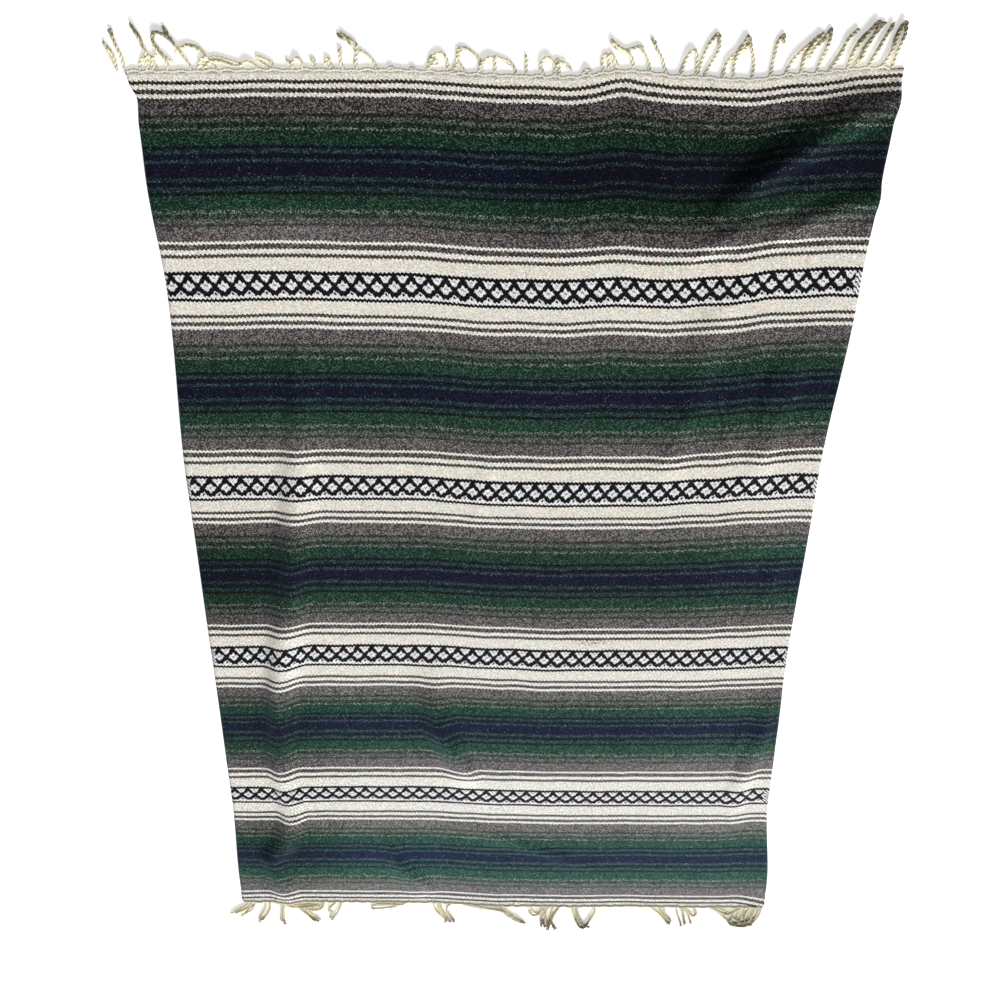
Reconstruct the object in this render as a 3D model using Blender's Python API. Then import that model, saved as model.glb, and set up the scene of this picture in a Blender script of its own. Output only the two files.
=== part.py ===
"""A mexican serape lying flat: one woven panel with low folds, and the fringe at its two ends.

Metres, +Z up. The warp runs along Y and the coloured weft stripes run along X. The cloth lies on
the plane z = 0, and the origin is below the middle of the whole piece.
"""
import math

import bmesh
import bpy
from mathutils import Vector

COLLECTION = "mexican_serape"

# Half the length of the whole piece, fringe included
HALF_SPAN = 0.999

# The woven panel
CLOTH_LENGTH = 1.854
CLOTH_THICKNESS = 0.0025
COLUMNS = 60
ROWS = 40

# The fringe, as the plain solid that its tassels reach
FRINGE_THICKNESS = 0.005
FRINGE_ROWS = 1
SEAM_GAP = 0.0003

# One row for each line across the cloth: the two ends, the middles of the four figured bands and
# three lines more. y is the place along the warp, left and right are the two selvages.
OUTLINE = (
    # y, left, right
    (-0.927, -0.662, 0.654),
    (-0.870, -0.660, 0.652),
    (-0.590, -0.648, 0.623),
    (-0.210, -0.644, 0.616),
    (0.190, -0.641, 0.623),
    (0.580, -0.624, 0.646),
    (0.750, -0.632, 0.655),
    (0.927, -0.641, 0.662),
)

# How far the weft has slid along the warp, in millimetres. One row for each place x across the
# cloth; the columns are the foot end, the four figured bands and the head end.
SAG_LINES = (-0.927, -0.590, -0.210, 0.190, 0.580, 0.927)
SAG = (
    # x, foot end, band 4, band 3, band 2, band 1, head end
    (-0.60, 8.0, 4.0, 2.0, 1.5, 0.0, 0.0),
    (-0.40, 10.0, 10.0, 9.0, 4.0, 4.0, 3.0),
    (-0.20, 7.0, 10.0, 8.0, 3.0, 0.0, 3.0),
    (0.00, 0.0, -0.5, -2.0, -9.5, -11.0, -6.0),
    (0.10, -1.0, -3.5, -6.0, -11.0, -12.5, -8.0),
    (0.20, -1.0, -4.0, -5.5, -10.5, -8.0, 0.0),
    (0.30, 0.0, -2.0, -5.0, -10.0, -11.0, -6.0),
    (0.40, -3.0, -3.5, -4.5, -3.5, -4.5, -8.0),
    (0.50, -4.0, -3.0, -1.0, 3.0, 6.0, 1.0),
    (0.60, -8.0, 4.0, 4.0, 8.0, 10.5, 6.0),
)

# The largest folds. Each is a soft ridge along a line of points; a point is the place of the crest
# and the height there. half is the ridge's half-width.
FOLDS = (
    {"name": "long_left", "half": 0.052, "crest": (
        # x, y, height
        (-0.385, 0.500, 0.000),
        (-0.395, 0.380, 0.010),
        (-0.425, 0.130, 0.017),
        (-0.450, 0.000, 0.020),
        (-0.475, -0.150, 0.016),
        (-0.500, -0.290, 0.025),
        (-0.522, -0.430, 0.020),
        (-0.545, -0.570, 0.010),
        (-0.565, -0.720, 0.012),
        (-0.552, -0.840, 0.013),
        (-0.548, -0.915, 0.000),
    )},
    {"name": "inner_left", "half": 0.050, "crest": (
        (-0.200, -0.250, 0.000),
        (-0.175, -0.330, 0.010),
        (-0.145, -0.410, 0.018),
        (-0.105, -0.510, 0.011),
        (-0.080, -0.570, 0.000),
    )},
    {"name": "foot_left", "half": 0.050, "crest": (
        (-0.290, -0.690, 0.000),
        (-0.270, -0.770, 0.008),
        (-0.235, -0.850, 0.013),
        (-0.205, -0.915, 0.000),
    )},
    {"name": "right_of_middle", "half": 0.048, "crest": (
        (0.400, 0.600, 0.000),
        (0.375, 0.480, 0.010),
        (0.345, 0.330, 0.012),
        (0.325, 0.210, 0.000),
    )},
    {"name": "right_selvage_upper", "half": 0.042, "crest": (
        (0.560, 0.520, 0.000),
        (0.530, 0.370, 0.012),
        (0.505, 0.260, 0.010),
        (0.500, 0.160, 0.000),
    )},
    {"name": "right_selvage_lower", "half": 0.040, "crest": (
        (0.575, -0.300, 0.000),
        (0.560, -0.400, 0.009),
        (0.545, -0.500, 0.010),
        (0.540, -0.600, 0.006),
        (0.550, -0.720, 0.000),
    )},
    {"name": "head_right", "half": 0.060, "crest": (
        (0.360, 0.700, 0.000),
        (0.420, 0.755, 0.014),
        (0.520, 0.815, 0.018),
        (0.610, 0.855, 0.012),
        (0.650, 0.875, 0.004),
    )},
)

# How far the longest tassels stop short of the whole span. One row for each place x across.
FRINGE_SHORT = (
    # x, head end, foot end
    (-0.662, 0.010, 0.012),
    (-0.600, 0.000, 0.008),
    (-0.500, 0.006, 0.000),
    (-0.400, 0.026, 0.012),
    (-0.300, 0.024, 0.014),
    (-0.240, 0.010, 0.022),
    (-0.100, 0.020, 0.012),
    (0.060, 0.022, 0.010),
    (0.200, 0.012, 0.014),
    (0.330, 0.002, 0.008),
    (0.450, 0.000, 0.002),
    (0.550, 0.000, 0.010),
    (0.662, 0.004, 0.000),
)

MILLIMETRE = 0.001


def ease(t):
    """A smooth step from 0 to 1."""
    t = min(1.0, max(0.0, t))
    return t * t * (3.0 - 2.0 * t)


def look_up(rows, value, column):
    """A column of a table of rows, eased between the rows on either side of a value."""
    if value <= rows[0][0]:
        return rows[0][column]
    for low, high in zip(rows, rows[1:]):
        if value <= high[0]:
            share = ease((value - low[0]) / (high[0] - low[0]))
            return low[column] + share * (high[column] - low[column])
    return rows[-1][column]


def sag(x, y):
    """How far the cloth at (x, y) has slid along the warp."""
    line = [(where, look_up(SAG, x, i + 1)) for i, where in enumerate(SAG_LINES)]
    return look_up(line, y, 1) * MILLIMETRE


def fold_height(fold, x, y):
    """The height of one soft ridge at (x, y): a raised cosine across its crest line."""
    best = 0.0
    point = Vector((x, y))
    for start, end in zip(fold["crest"], fold["crest"][1:]):
        a = Vector(start[:2])
        b = Vector(end[:2])
        run = b - a
        share = min(1.0, max(0.0, (point - a).dot(run) / run.length_squared))
        away = (point - a - share * run).length
        if away < fold["half"]:
            height = start[2] + share * (end[2] - start[2])
            best = max(best, height * 0.5 * (1.0 + math.cos(math.pi * away / fold["half"])))
    return best


def lift(x, y):
    """The height of the cloth's underside above the surface it lies on."""
    return sum(fold_height(fold, x, y) for fold in FOLDS)


def across(share, y):
    """The place x at a share 0 to 1 of the way from the left selvage to the right one."""
    left = look_up(OUTLINE, y, 1)
    right = look_up(OUTLINE, y, 2)
    return left + share * (right - left)


def cloth_point(share, y):
    """A point of the cloth's underside."""
    x = across(share, y)
    return Vector((x, y + sag(x, y), lift(x, y)))


def wall(name, columns, rows, place, thickness):
    """A closed wall on an open grid, whose points a function places; its edges stand upright."""
    mesh = bpy.data.meshes.new(name)
    bm = bmesh.new()
    bmesh.ops.create_grid(bm, x_segments=columns, y_segments=rows, size=0.5)
    for vertex in bm.verts:
        vertex.co = place(vertex.co.x + 0.5, vertex.co.y + 0.5)
    raised = bmesh.ops.extrude_face_region(bm, geom=bm.faces[:], use_keep_orig=True)
    top = [piece for piece in raised["geom"] if isinstance(piece, bmesh.types.BMVert)]
    bmesh.ops.translate(bm, verts=top, vec=(0.0, 0.0, thickness))
    bmesh.ops.recalc_face_normals(bm, faces=bm.faces[:])
    bm.to_mesh(mesh)
    bm.free()
    obj = bpy.data.objects.new(name, mesh)
    bpy.data.collections[COLLECTION].objects.link(obj)
    return obj


def cloth_material(name, colour, roughness):
    """A matt woven finish."""
    material = bpy.data.materials.new(name)
    material.use_nodes = True
    shader = material.node_tree.nodes["Principled BSDF"]
    shader.inputs["Base Color"].default_value = (*colour, 1.0)
    shader.inputs["Roughness"].default_value = roughness
    shader.inputs["Metallic"].default_value = 0.0
    return material


def woven_panel():
    """The one length of cloth that comes off the loom."""
    def place(u, v):
        return cloth_point(u, (v - 0.5) * CLOTH_LENGTH)

    panel = wall("woven_panel", COLUMNS, ROWS, place, CLOTH_THICKNESS)
    panel.data.materials.append(cloth_material("woven_cotton", (0.10, 0.13, 0.12), 0.92))


def fringe(name, side, column):
    """The reach of the tassels at one end: side is +1 at the head and -1 at the foot."""
    end = side * CLOTH_LENGTH / 2

    def place(u, v):
        root = cloth_point(u, end)
        short = look_up(FRINGE_SHORT, root.x, column)
        inner = root.y + side * SEAM_GAP
        outer = side * (HALF_SPAN - short)
        reach = v if side > 0 else 1.0 - v
        return Vector((root.x, inner + reach * (outer - inner), 0.0))

    trim = wall(name, COLUMNS, FRINGE_ROWS, place, FRINGE_THICKNESS)
    trim.data.materials.append(cloth_material(name + "_cord", (0.72, 0.68, 0.54), 0.88))


def build():
    for obj in list(bpy.data.objects):
        bpy.data.objects.remove(obj, do_unlink=True)
    bpy.context.scene.collection.children.link(bpy.data.collections.new(COLLECTION))
    woven_panel()
    fringe("fringe_head", 1, 1)
    fringe("fringe_foot", -1, 2)


build()
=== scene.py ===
"""The looks of a mexican serape laid flat on a pale floor.

Metres, +Z up. The warp runs along Y and the weft stripes run along X, as in the frame. The woven
panel is a thin shell over the solid's form, with the small creases added; its stripes, figured
bands and weave are drawn in its material from the yarn's real sizes. The fringe is twisted cord.
"""

import math

import bpy
import numpy as np
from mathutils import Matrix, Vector


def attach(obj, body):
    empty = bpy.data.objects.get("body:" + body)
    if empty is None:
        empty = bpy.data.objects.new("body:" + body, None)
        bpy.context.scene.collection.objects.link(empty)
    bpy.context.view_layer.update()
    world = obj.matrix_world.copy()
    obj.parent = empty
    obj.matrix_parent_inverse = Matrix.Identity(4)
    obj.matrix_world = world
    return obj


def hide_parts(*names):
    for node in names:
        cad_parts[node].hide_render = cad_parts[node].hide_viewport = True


MM = 0.001

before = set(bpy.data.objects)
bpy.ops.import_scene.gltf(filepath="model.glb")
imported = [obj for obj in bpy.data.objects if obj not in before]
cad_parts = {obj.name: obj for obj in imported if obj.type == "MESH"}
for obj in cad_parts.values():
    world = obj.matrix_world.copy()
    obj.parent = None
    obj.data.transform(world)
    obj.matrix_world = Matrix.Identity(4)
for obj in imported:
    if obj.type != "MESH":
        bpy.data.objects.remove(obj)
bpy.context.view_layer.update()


# ---------------------------------------------------------------- sizes

CLOTH_LENGTH = 1.854
CLOTH_THICKNESS = 0.0025
FLAT_WIDTH = 1.31
GRID_ACROSS = 184
GRID_ALONG = 262

# The selvages, as in the solid, with the notch at the head's left corner added. y is the place
# along the warp.
OUTLINE = (
    # y, left, right
    (-0.927, -0.662, 0.654),
    (-0.870, -0.660, 0.652),
    (-0.590, -0.648, 0.623),
    (-0.210, -0.644, 0.616),
    (0.190, -0.641, 0.623),
    (0.580, -0.624, 0.646),
    (0.750, -0.632, 0.655),
    (0.840, -0.630, 0.659),
    (0.885, -0.626, 0.660),
    (0.912, -0.637, 0.661),
    (0.927, -0.641, 0.662),
)

# How far the weft has slid along the warp, in millimetres: at each x, on each of seven lines
# across the cloth.
SAG_LINES = (-0.927, -0.590, -0.210, 0.190, 0.580, 0.750, 0.927)
SAG = (
    # x, foot end, band 4, band 3, band 2, band 1, first navy, head end
    (-0.60, 13.0, 8.0, 4.0, 2.5, 1.0, 0.5, 1.0),
    (-0.40, 13.5, 10.5, 8.5, 5.0, 3.5, 3.5, 3.0),
    (-0.20, 12.5, 10.0, 8.0, 3.0, 0.0, 1.5, 3.0),
    (0.00, -0.5, -0.5, -1.5, -9.0, -11.0, -8.0, -5.0),
    (0.10, -2.5, -3.5, -6.0, -11.0, -13.0, -10.5, -8.0),
    (0.20, -3.0, -4.0, -5.5, -10.5, -8.0, -3.5, 2.0),
    (0.30, -1.0, -3.0, -5.0, -10.5, -11.5, -10.5, -7.0),
    (0.40, -3.0, -3.5, -5.0, -4.0, -5.5, -9.5, -11.5),
    (0.50, -4.5, -3.0, -1.0, 3.5, 6.0, 3.5, -2.5),
    (0.60, -4.0, 4.0, 3.5, 8.0, 10.0, 9.0, 6.0),
)

# The largest folds: soft ridges, each along a line of crest points. half is the ridge's half-width.
# The solid has them in a simpler form.
FOLDS = {
    "long_left": {"half": 0.052, "crest": (
        # x, y, height
        (-0.385, 0.500, 0.000),
        (-0.395, 0.380, 0.010),
        (-0.425, 0.130, 0.019),
        (-0.450, 0.000, 0.022),
        (-0.475, -0.150, 0.020),
        (-0.500, -0.290, 0.012),
        (-0.515, -0.430, 0.000),
    )},
    "long_left_foot": {"half": 0.042, "crest": (
        (-0.475, -0.150, 0.000),
        (-0.500, -0.290, 0.012),
        (-0.515, -0.430, 0.024),
        (-0.520, -0.520, 0.018),
        (-0.512, -0.600, 0.014),
        (-0.510, -0.660, 0.018),
        (-0.525, -0.720, 0.018),
        (-0.570, -0.780, 0.015),
        (-0.555, -0.870, 0.015),
        (-0.545, -0.920, 0.007),
    )},
    "inner_left": {"half": 0.050, "crest": (
        (-0.170, -0.190, 0.000),
        (-0.162, -0.280, 0.008),
        (-0.155, -0.340, 0.014),
        (-0.145, -0.410, 0.020),
        (-0.105, -0.510, 0.012),
        (-0.080, -0.570, 0.000),
    )},
    "foot_left": {"half": 0.050, "crest": (
        (-0.290, -0.690, 0.000),
        (-0.270, -0.770, 0.006),
        (-0.235, -0.850, 0.008),
        (-0.205, -0.915, 0.000),
    )},
    "right_of_middle": {"half": 0.048, "crest": (
        (0.400, 0.600, 0.000),
        (0.375, 0.480, 0.010),
        (0.345, 0.330, 0.012),
        (0.325, 0.210, 0.000),
    )},
    "right_selvage_upper": {"half": 0.042, "crest": (
        (0.560, 0.520, 0.000),
        (0.530, 0.370, 0.012),
        (0.505, 0.260, 0.010),
        (0.500, 0.160, 0.000),
    )},
    "right_selvage_lower": {"half": 0.040, "crest": (
        (0.590, -0.270, 0.000),
        (0.585, -0.390, 0.012),
        (0.565, -0.490, 0.011),
        (0.540, -0.600, 0.006),
        (0.550, -0.720, 0.000),
    )},
    "head_right": {"half": 0.037, "crest": (
        (0.350, 0.690, 0.000),
        (0.408, 0.745, 0.019),
        (0.508, 0.805, 0.026),
        (0.595, 0.852, 0.021),
        (0.655, 0.876, 0.012),
    )},
}

# The small creases, which the solid leaves out: short soft ridges, steeper than the folds.
CREASES = {
    "left_upper": {"half": 0.024, "crest": (
        # x, y, height
        (-0.405, 0.480, 0.000),
        (-0.405, 0.420, 0.005),
        (-0.408, 0.320, 0.006),
        (-0.412, 0.240, 0.000),
    )},
    "left_faint": {"half": 0.020, "crest": (
        (-0.452, 0.440, 0.000),
        (-0.455, 0.350, 0.003),
        (-0.455, 0.230, 0.000),
    )},
    "left_middle": {"half": 0.022, "crest": (
        (-0.438, 0.115, 0.000),
        (-0.440, 0.040, 0.007),
        (-0.445, -0.060, 0.007),
        (-0.450, -0.125, 0.000),
    )},
    "middle_short": {"half": 0.020, "crest": (
        (0.116, 0.090, 0.000),
        (0.116, 0.020, 0.005),
        (0.116, -0.050, 0.000),
    )},
    "middle_flat": {"half": 0.030, "crest": (
        (-0.020, 0.330, 0.000),
        (-0.035, 0.240, 0.003),
        (-0.060, 0.140, 0.002),
        (-0.080, 0.060, 0.000),
    )},
    "right_upper": {"half": 0.022, "crest": (
        (0.338, 0.500, 0.000),
        (0.325, 0.420, 0.005),
        (0.298, 0.300, 0.000),
    )},
    "selvage_upper": {"half": 0.022, "crest": (
        (0.526, 0.490, 0.000),
        (0.506, 0.390, 0.006),
        (0.476, 0.275, 0.000),
    )},
    "selvage_middle": {"half": 0.026, "crest": (
        (0.560, 0.080, 0.000),
        (0.555, -0.030, 0.007),
        (0.560, -0.140, 0.000),
    )},
    "inner_fork": {"half": 0.022, "crest": (
        (-0.170, -0.290, 0.000),
        (-0.152, -0.390, 0.008),
        (-0.092, -0.500, 0.006),
        (-0.060, -0.540, 0.000),
    )},
    "right_lower": {"half": 0.020, "crest": (
        (0.260, -0.370, 0.000),
        (0.262, -0.440, 0.005),
        (0.268, -0.500, 0.003),
        (0.282, -0.545, 0.000),
    )},
    "selvage_lower": {"half": 0.020, "crest": (
        (0.544, -0.360, 0.000),
        (0.528, -0.430, 0.006),
        (0.510, -0.510, 0.000),
    )},
    "foot_fork": {"half": 0.022, "crest": (
        (-0.285, -0.700, 0.000),
        (-0.255, -0.800, 0.006),
        (-0.190, -0.880, 0.004),
        (-0.160, -0.905, 0.000),
    )},
    "foot_slant": {"half": 0.026, "crest": (
        (-0.130, -0.665, 0.000),
        (0.000, -0.715, 0.004),
        (0.130, -0.765, 0.005),
        (0.250, -0.815, 0.000),
    )},
    "head_right_lip": {"half": 0.018, "crest": (
        (0.385, 0.722, 0.000),
        (0.420, 0.752, 0.004),
        (0.508, 0.805, 0.005),
        (0.590, 0.848, 0.004),
        (0.640, 0.868, 0.000),
    )},
    "head_slant": {"half": 0.026, "crest": (
        (0.320, 0.640, 0.000),
        (0.385, 0.668, 0.010),
        (0.450, 0.690, 0.000),
    )},
    "head_selvage": {"half": 0.030, "crest": (
        (0.450, 0.655, 0.000),
        (0.530, 0.684, 0.013),
        (0.600, 0.705, 0.014),
        (0.655, 0.722, 0.006),
    )},
    "head_middle": {"half": 0.040, "crest": (
        (0.040, 0.800, 0.000),
        (0.110, 0.700, 0.004),
        (0.190, 0.620, 0.000),
    )},
}

# The yarn's own marks along the flat warp, a row for each field of stripes from the head end.
FIELD_PLACES = (
    # lower line before, thin white, green, navy, green, thin white, upper line after
    (0.926, 0.890, 0.825, 0.775, 0.723, 0.655, 0.602),
    (0.555, 0.506, 0.433, 0.383, 0.331, 0.265, 0.210),
    (0.163, 0.114, 0.043, -0.009, -0.062, -0.127, -0.182),
    (-0.230, -0.281, -0.345, -0.390, -0.444, -0.509, -0.566),
    (-0.607, -0.659, -0.725, -0.772, -0.825, -0.891, -0.925),
)

# One repeat of the stripes, from the middle of a figured band to the middle of the next.
STRIPES = (
    # width in mm, ground yarn, its flecks, share of flecks
    (47.5, "E6E2D8", "C9C4B4", 0.16),
    (5.5, "3A3731", "7B776B", 0.24),
    (7.7, "E8E5DF", "CFC9C1", 0.16),
    (8.0, "363330", "848078", 0.28),
    (5.8, "E8E5DF", "CFC9C1", 0.16),
    (25.0, "3C3938", "8B8786", 0.33),
    (6.2, "222924", "565F57", 0.24),
    (8.0, "363E38", "7E8379", 0.32),
    (8.4, "17241C", "4C5B4C", 0.26),
    (5.8, "26352D", "89948C", 0.29),
    (23.6, "0D281E", "416051", 0.22),
    (6.2, "030D14", "1D323C", 0.18),
    (7.8, "122428", "445355", 0.27),
    (8.6, "030A14", "1D2E3B", 0.18),
    (5.7, "111F27", "44555D", 0.30),
    (24.0, "05091B", "242641", 0.22),
    (8.1, "112226", "435355", 0.27),
    (9.4, "030D14", "1E333F", 0.18),
    (7.8, "122427", "435455", 0.27),
    (6.2, "03100E", "1F3933", 0.18),
    (24.6, "102B20", "446452", 0.22),
    (6.0, "24332B", "868F88", 0.29),
    (8.1, "1A2620", "535F57", 0.28),
    (7.9, "353C37", "7A7F78", 0.30),
    (5.5, "262928", "5A5D59", 0.25),
    (23.0, "3E3A3A", "8B8685", 0.32),
    (5.8, "E8E5DF", "CFC9C1", 0.16),
    (8.2, "363330", "848078", 0.28),
    (7.7, "E8E5DF", "CFC9C1", 0.16),
    (5.4, "3A3731", "7B776B", 0.24),
    (48.0, "E6E2D8", "C9C4B4", 0.16),
)
REPEAT = sum(row[0] for row in STRIPES) * MM
MARKED_STRIPES = (4, 10, 15, 20, 26)
BAND_HEIGHT = 47.9 * MM
LINE_HEIGHT = 6.0 * MM
LOWER_LINE_HEIGHT = 5.2 * MM
# How far the figures of each band start from the left selvage, in millimetres, head end first.
BAND_STARTS = (-5.3, -0.8, 0.7, -6.8)
# The plain header before the first stripe at each end.
HEAD_HEADER = 14.5 * MM
FOOT_HEADER = 10.8 * MM
# Each group of warp ends is knotted off over this much of the edge.
SCALLOP = 26.0 * MM

# Where the weft was beaten askew.
SLIPS = (
    # x, y, reach across, reach along, how far it lies towards the head in mm
    (0.680, 0.930, 0.140, 0.110, 7.0),
    (0.680, -0.930, 0.110, 0.090, -20.0),
    (0.192, 0.905, 0.042, 0.100, 3.5),
)


# ---------------------------------------------------------------- the form of the cloth

def ease(t):
    """A smooth step from 0 to 1."""
    t = np.clip(t, 0.0, 1.0)
    return t * t * (3.0 - 2.0 * t)


def look_up(rows, column, values):
    """A column of a table, eased between the rows on either side of each value."""
    keys = [row[0] for row in rows]
    low = np.clip(np.searchsorted(keys, values) - 1, 0, len(rows) - 2)
    keys = np.array(keys)
    share = ease((values - keys[low]) / (keys[low + 1] - keys[low]))
    column = np.array([row[column] for row in rows])
    return column[low] + share * (column[low + 1] - column[low])


def sag(x, y):
    """How far the cloth at (x, y) has slid along the warp."""
    lines = np.stack([look_up(SAG, i + 1, x) for i in range(len(SAG_LINES))])
    keys = np.array(SAG_LINES)
    low = np.clip(np.searchsorted(keys, y) - 1, 0, len(keys) - 2)
    share = ease((y - keys[low]) / (keys[low + 1] - keys[low]))
    at = np.arange(x.size).reshape(x.shape)
    flat = lines.reshape(len(keys), -1)
    below = flat[low.ravel(), at.ravel()].reshape(x.shape)
    above = flat[low.ravel() + 1, at.ravel()].reshape(x.shape)
    return (below + share * (above - below)) * MM


def ridge(crest, half, x, y):
    """A soft ridge: a raised cosine across a line of crest points."""
    best = np.zeros_like(x)
    for (ax, ay, ah), (bx, by, bh) in zip(crest, crest[1:]):
        run_x = bx - ax
        run_y = by - ay
        share = ((x - ax) * run_x + (y - ay) * run_y) / (run_x ** 2 + run_y ** 2)
        share = np.clip(share, 0.0, 1.0)
        away = np.hypot(x - ax - share * run_x, y - ay - share * run_y)
        height = ah + share * (bh - ah)
        bump = height * 0.5 * (1.0 + np.cos(math.pi * np.clip(away / half, 0.0, 1.0)))
        best = np.maximum(best, bump)
    return best


def unevenness(x, y):
    """The cloth never lies quite flat: two long slow waves, a millimetre or so high."""
    slow = 1.0 + np.sin(9.0 * x + 4.0 * y + 1.0)
    cross = 1.0 + np.sin(-13.0 * x + 7.5 * y + 2.2) * np.cos(5.0 * y)
    return (0.5 * slow + 0.4 * cross) * MM


def lift(x, y):
    """How high the cloth's underside is at (x, y)."""
    folds = (*FOLDS.values(), *CREASES.values())
    ridges = sum(ridge(fold["crest"], fold["half"], x, y) for fold in folds)
    return ridges + unevenness(x, y)


def cloth_form(share, y):
    """Points of the cloth's underside, from the share of the way across and the place along."""
    left = look_up(OUTLINE, 1, y)
    right = look_up(OUTLINE, 2, y)
    x = left + share * (right - left)
    return np.stack([x, y + sag(x, y), lift(x, y)], axis=-1)


# ---------------------------------------------------------------- materials

MATH = "ShaderNodeMath"
VECTOR = "ShaderNodeVectorMath"

# From one turn of the weft round the warp to the next, and how far each turn steps the stripes.
WARP_PITCH = 8.08 * MM
TOOTH = 1.05 * MM
# One float of the thick yarn, along the weft and across it. It is drawn a little coarser than the
# real one, so that it shows.
FLOAT_LENGTH = 1.9 * MM
FLOAT_HEIGHT = 1.4 * MM
FLOAT_RELIEF = 0.9 * MM
# How far the beat and the fuzz of the nap shift the stripes, from the one side to the other.
BEAT_SHIFT = 5.0 * MM
FUZZ_SHIFT = 3.0 * MM
# How many of each mark fit in a metre: waves of the beat (71 mm each), tufts of the nap
# (3.8 mm), felted clumps (3.3 mm), dye lots (33 mm), spots of the stain and of the cords' painted
# shade (5.9 mm) and fibres (1.1 mm).
BEAT_WAVES = 14.0
TUFTS = 260.0
CLUMPS = 300.0
DYE_LOTS = 30.0
SPOTS = 170.0
FIBRES = 900.0

# A figure of the bands is charted in steps, this many across its pitch and down the band. Its
# shapes are in shares of the pitch, out from their own middle, and of the band's height, down it.
FIGURE_PITCH = 4 * WARP_PITCH
STEPS_ACROSS = 20
STEPS_DOWN = 32
DIAMOND_MIDDLE = 0.48
DIAMOND_ABOVE = 0.17
DIAMOND_BELOW = 0.19
DIAMOND_ASIDE = 0.36
TRIANGLE_DEPTH = 0.40
TRIANGLE_SLOPE = 0.72
MOUND_TOP = 0.63
MOUND_SLOPE = 0.53
MOUND_FOOT = 0.82
STITCHES = (
    # the figure it is in, how far down, half-width, half-height, how dark
    ("mound", 0.74, 0.085, 0.045, 1.00),
    ("diamond", 0.46, 0.110, 0.035, 0.60),
    ("triangle", 0.21, 0.120, 0.030, 0.50),
)
# Beside the selvages the figures stop, and slanting strokes take their place.
STROKED_EDGE = 7.0 * MM
STROKE_PITCH = 9.0 * MM
STROKES_DOWN = 6.0
STROKE_GAP = 0.62
BAND_WHITES = ("E7E7E7", "C3C4C6")
BAND_BLACKS = ("0B0A0D", "302E36")

# Towards the foot the dark yarns take on a painted blue-green haze of sheen, and the light ones
# painted light: whiter, for the cooler light there.
PAINTED_SHEEN_HAZE = "010A0D"
PAINTED_COOL_WHITE = "F0EFED"
PAINTED_COOL_WHITE_SHARE = 0.60
# Pale lint, caught thinly on this share of the floats.
LINT = "B0B7C0"
LINT_SHARE = 0.005
LINT_COVER = 0.30
# How far a float's chance may be from its stripe's share of flecks and still give a mixed colour.
MIXED = 0.06
# Each float's own shade, from the darkest to the lightest, and how much the felted clumps add.
FLOAT_SHADES = (0.74, 1.26)
CLUMP_SHADE = 3.0
# How much richer the colours are at the foot: painted, for the light there.
PAINTED_LIGHT_RICHNESS = 1.13
# The shade between the knots: a dash in each scallop, this share of it long, at the very edge.
KNOT_SHADE = "4A463E"
KNOT_DASH = 0.45
KNOT_EDGE = 2.2 * MM
KNOT_DARKNESS = 0.75
DYE_LOT_TINTS = ("FFFAFA", "F8FCFB")
# Darker towards the head and paler towards the foot: painted shade and painted light for the
# veiling light from the window beyond the foot, and partly the yarn lots, which differ from field
# to field.
# Where each change along the warp starts and stops, and what it adds to the gamma of the colour.
YARN_LOTS_AND_PAINTED_LIGHT = (
    # start, stop, change
    (0.400, 0.900, 0.04),
    (0.400, -0.200, -0.045),
    (0.500, 0.720, 0.06),
    (0.820, 0.880, 0.23),
    (0.908, 0.918, -0.30),
    (-0.100, -0.800, -0.21),
    (-0.896, -0.904, 0.20),
)
# Patches of painted shade, and of painted light where the change is below zero: the shadow of the
# head's right fold and the uneven light across the cloth.
PAINTED_SHADE_PATCHES = (
    # x, y, reach across, reach along, change to the gamma
    (0.250, 0.740, 0.340, 0.160, 0.20),
    (0.450, 0.815, 0.160, 0.040, 0.25),
    (-0.560, 0.370, 0.220, 0.150, 0.07),
    (-0.380, 0.680, 0.320, 0.060, -0.15),
    (0.415, 0.785, 0.090, 0.045, 0.26),
    (0.372, 0.715, 0.070, 0.065, 0.24),
    (0.650, 0.800, 0.070, 0.170, 0.16),
    (-0.570, -0.050, 0.230, 0.380, 0.20),
    (-0.550, -0.620, 0.240, 0.440, 0.26),
    (0.470, -0.450, 0.300, 0.450, -0.06),
    (0.560, 0.080, 0.240, 0.220, -0.12),
)
# One faint brown stain: x, y, reach across, reach along.
STAIN = (0.190, -0.163, 0.055, 0.013)
STAIN_TINT = "A58D88"

# The cords are cream, with painted olive shade in mottles that grows from the first to the second
# place beyond the cloth's edge, greyest at the tips. At the head they are dulled next to the edge
# itself.
CORD_CREAM = "E8E1C4"
CORD_PAINTED_SHADE = "7F785C"
CORD_DULL = "BDBAAF"
PAINTED_SHADE_FROM = 20.0 * MM
PAINTED_SHADE_TO = 75.0 * MM
DULL_REACH = 14.0 * MM


def linear(code):
    """An sRGB hex colour as linear red, green, blue, alpha."""
    channels = [int(code[i:i + 2], 16) / 255 for i in (0, 2, 4)]
    return (*[c / 12.92 if c <= 0.04045 else ((c + 0.055) / 1.055) ** 2.4 for c in channels], 1.0)


def add(tree, kind, inputs=(), **settings):
    """Adds a node. Each input, in order or by name, is a node, a socket, a list or a value."""
    node = tree.nodes.new(kind)
    for name, value in settings.items():
        setattr(node, name, value)
    for key, value in inputs.items() if isinstance(inputs, dict) else enumerate(inputs):
        for item in value if isinstance(value, list) else [value]:
            if isinstance(item, bpy.types.Node):
                item = item.outputs[0]
            if isinstance(item, bpy.types.NodeSocket):
                tree.links.new(item, node.inputs[key])
            elif item is not None:
                node.inputs[key].default_value = item
    return node


def new_material(name):
    material = bpy.data.materials.new(name)
    material.use_nodes = True
    material.node_tree.nodes.clear()
    return material, material.node_tree


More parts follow.
